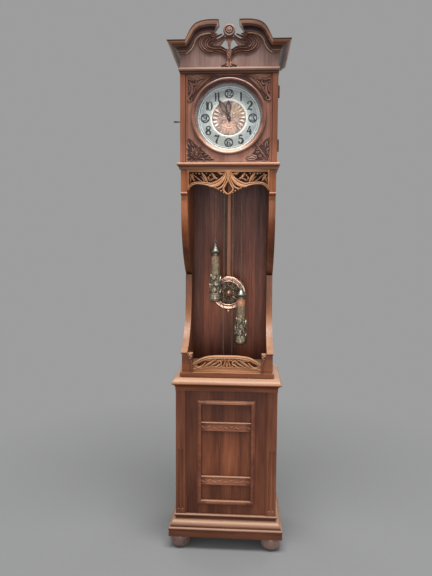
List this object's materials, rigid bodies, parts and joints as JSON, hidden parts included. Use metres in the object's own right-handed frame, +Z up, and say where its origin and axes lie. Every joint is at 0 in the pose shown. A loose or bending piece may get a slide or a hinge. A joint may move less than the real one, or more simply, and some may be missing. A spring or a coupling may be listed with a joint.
{
  "type": "open-trunk longcase clock",
  "caption": "Tall open-trunk longcase clock with a round glazed door, chain-driven weights, a free-swinging pendulum, carved frets and a swan-neck pediment.",
  "frame": {"origin": "on the floor under the middle of the clock's overall width and depth", "axes": "+Z up, along the clock's height; the dial faces -Y; +X to the right of a person who faces the dial"},
  "size_m": [0.5266, 0.367, 2.3518],
  "materials": {
    "case_wood": "polished walnut, reddish brown",
    "back_wood": "thin satin varnish",
    "rod_wood": "varnished orange-brown",
    "fret_wood": "carved, honey-brown",
    "clear_glass": "clear, polished",
    "fitting_brass": "aged",
    "movement_brass": "brushed",
    "chain_brass": "aged",
    "weight_bronze": "patinated, greenish",
    "dark_bronze": "dark patina",
    "copper": "embossed, pink copper tone",
    "silvered_metal": "stippled silvering",
    "iron": "black",
    "steel": "polished"
  },
  "bodies": {
    "case": {"bun_feet": "case_wood", "plinth": "case_wood", "base_sides": "case_wood", "base_front": "case_wood", "base_pilasters": "case_wood", "base_panel_mouldings": "case_wood", "base_top": "case_wood", "backboard": "back_wood", "left_cheek": "case_wood", "right_cheek": "case_wood", "cheek_blocks": "case_wood", "lower_fret": "fret_wood", "upper_fret": "fret_wood", "hood_base_moulding": "case_wood", "hood_carcass": "case_wood", "frieze": "case_wood", "left_cornice": "case_wood", "right_cornice": "case_wood", "tympanum": "case_wood", "door_hinges": "fitting_brass", "lock_case": "iron", "seatboard": "back_wood", "movement_plates": "movement_brass", "plate_pillars": "movement_brass", "gong": "steel", "dial_plate": "movement_brass", "chapter_ring": "silvered_metal", "dial_centre": "copper"},
    "door": {"door_frame": "case_wood", "door_ring": "case_wood", "door_glass": "clear_glass", "door_carvings": "fret_wood", "door_fittings": "fitting_brass"},
    "key": {"lock_key": "steel"},
    "bolt": {"lock_bolt": "steel"},
    "great_wheel_of_going": {"going_great_wheel": "movement_brass"},
    "chain_wheel_of_going": {"going_chain_wheel": "movement_brass"},
    "centre_arbor": {"centre_wheel": "movement_brass", "minute_hand": "dark_bronze"},
    "third_arbor": {"third_wheel": "movement_brass"},
    "escape_arbor": {"escape_wheel": "movement_brass"},
    "anchor_arbor": {"anchor": "steel"},
    "motion_wheel": {"minute_wheel": "movement_brass"},
    "hour_pipe": {"hour_wheel": "movement_brass", "hour_hand": "dark_bronze"},
    "great_wheel_of_strike": {"strike_great_wheel": "movement_brass"},
    "chain_wheel_of_strike": {"strike_chain_wheel": "movement_brass"},
    "pin_arbor": {"pin_wheel": "movement_brass"},
    "fly_arbor": {"fly": "movement_brass"},
    "strike_hammer": {"hammer": "steel"},
    "pendulum": {"pendulum_rod": "rod_wood", "pendulum_bob": "copper"},
    "left_weight_and_chain": {"left_weight": "weight_bronze", "left_weight_chain": "chain_brass"},
    "left_free_end": {"left_chain_ring": "chain_brass", "left_free_chain": "chain_brass"},
    "right_weight_and_chain": {"right_weight": "weight_bronze", "right_weight_chain": "chain_brass"},
    "right_free_end": {"right_chain_ring": "chain_brass", "right_free_chain": "chain_brass"}
  },
  "joints": [
    {"name": "door_hinge", "type": "hinge", "parent": "case", "child": "door", "pos_m": [0.2167, -0.10435, 1.967], "axis": [0, 0, 1], "range_deg": [0, 110]},
    {"name": "key_turn", "type": "hinge", "parent": "case", "child": "key", "pos_m": [-0.2123, -0.072, 1.957], "axis": [1, 0, 0], "range_deg": [0, 180]},
    {"name": "bolt_slide", "type": "slide", "parent": "case", "child": "bolt", "axis": [0, 0, 1], "range_m": [0, 0.012]},
    {"name": "hands_turn", "type": "hinge", "parent": "case", "child": "centre_arbor", "pos_m": [0, -0.0585, 1.967], "axis": [0, 1, 0], "continuous": true},
    {"name": "hour_turn", "type": "hinge", "parent": "case", "child": "hour_pipe", "pos_m": [0, -0.0585, 1.967], "axis": [0, 1, 0], "continuous": true},
    {"name": "motion_wheel_turn", "type": "hinge", "parent": "case", "child": "motion_wheel", "pos_m": [-0.01609, -0.0585, 1.9805], "axis": [0, 1, 0], "continuous": true},
    {"name": "great_wheel_turn", "type": "hinge", "parent": "case", "child": "great_wheel_of_going", "pos_m": [-0.04, -0.0585, 1.96226], "axis": [0, 1, 0], "continuous": true},
    {"name": "third_wheel_turn", "type": "hinge", "parent": "case", "child": "third_arbor", "pos_m": [0, -0.0585, 1.9891], "axis": [0, 1, 0], "continuous": true},
    {"name": "escape_wheel_turn", "type": "hinge", "parent": "case", "child": "escape_arbor", "pos_m": [0, -0.0585, 2.0089], "axis": [0, 1, 0], "continuous": true},
    {"name": "pin_wheel_turn", "type": "hinge", "parent": "case", "child": "pin_arbor", "pos_m": [0.04, -0.0585, 1.9983], "axis": [0, 1, 0], "continuous": true},
    {"name": "strike_great_wheel_turn", "type": "hinge", "parent": "case", "child": "great_wheel_of_strike", "pos_m": [0.04, -0.0585, 1.96226], "axis": [0, 1, 0], "continuous": true},
    {"name": "fly_turn", "type": "hinge", "parent": "case", "child": "fly_arbor", "pos_m": [0.04, -0.0585, 2.0204], "axis": [0, 1, 0], "continuous": true},
    {"name": "hammer_swing", "type": "hinge", "parent": "case", "child": "strike_hammer", "pos_m": [0.076, -0.0585, 1.9983], "axis": [0, 1, 0], "range_deg": [-20, 0], "stiffness_Nm_per_rad": 0.02, "springref_deg": 17.19},
    {"name": "pendulum_swing", "type": "hinge", "parent": "case", "child": "pendulum", "pos_m": [0, 0.0365, 2.031], "axis": [0, 1, 0], "range_deg": [-3.5, 3.5]},
    {"name": "anchor_rock", "type": "hinge", "parent": "case", "child": "anchor_arbor", "pos_m": [0, -0.0585, 2.031], "axis": [0, 1, 0], "range_deg": [-3.5, 3.5]},
    {"name": "left_weight_drop", "type": "slide", "parent": "case", "child": "left_weight_and_chain", "axis": [0, 0, 1], "range_m": [-0.954, 0.26], "deforming": ["left_weight_chain"]},
    {"name": "left_free_end_rise", "type": "slide", "parent": "case", "child": "left_free_end", "axis": [0, 0, 1], "range_m": [-0.26, 0.954], "deforming": ["left_free_chain"]},
    {"name": "left_chain_wheel_turn", "type": "hinge", "parent": "case", "child": "chain_wheel_of_going", "pos_m": [-0.04, -0.0355, 1.96226], "axis": [0, 1, 0], "range_deg": [-2740, 760]},
    {"name": "right_weight_drop", "type": "slide", "parent": "case", "child": "right_weight_and_chain", "axis": [0, 0, 1], "range_m": [-0.754, 0.46], "deforming": ["right_weight_chain"]},
    {"name": "right_free_end_rise", "type": "slide", "parent": "case", "child": "right_free_end", "axis": [0, 0, 1], "range_m": [-0.46, 0.754], "deforming": ["right_free_chain"]},
    {"name": "right_chain_wheel_turn", "type": "hinge", "parent": "case", "child": "chain_wheel_of_strike", "pos_m": [0.04, -0.0355, 1.96226], "axis": [0, 1, 0], "range_deg": [-1330, 2170]}
  ],
  "couplings": [
    {"joint": "bolt_slide", "follows": "key_turn", "m_per_rad": 0.0038197},
    {"joint": "hour_turn", "follows": "hands_turn", "ratio": 0.083333},
    {"joint": "motion_wheel_turn", "follows": "hands_turn", "ratio": -0.33333},
    {"joint": "great_wheel_turn", "follows": "hands_turn", "ratio": -0.055556},
    {"joint": "third_wheel_turn", "follows": "hands_turn", "ratio": -7.5},
    {"joint": "escape_wheel_turn", "follows": "hands_turn", "ratio": 54.375},
    {"joint": "strike_great_wheel_turn", "follows": "pin_wheel_turn", "ratio": -0.0625},
    {"joint": "fly_turn", "follows": "pin_wheel_turn", "ratio": -7.5},
    {"joint": "anchor_rock", "follows": "pendulum_swing", "ratio": 1},
    {"joint": "left_free_end_rise", "follows": "left_weight_drop", "ratio": -1},
    {"joint": "left_chain_wheel_turn", "follows": "left_weight_drop", "rad_per_m": 50},
    {"joint": "right_free_end_rise", "follows": "right_weight_drop", "ratio": -1},
    {"joint": "right_chain_wheel_turn", "follows": "right_weight_drop", "rad_per_m": -50}
  ]
}
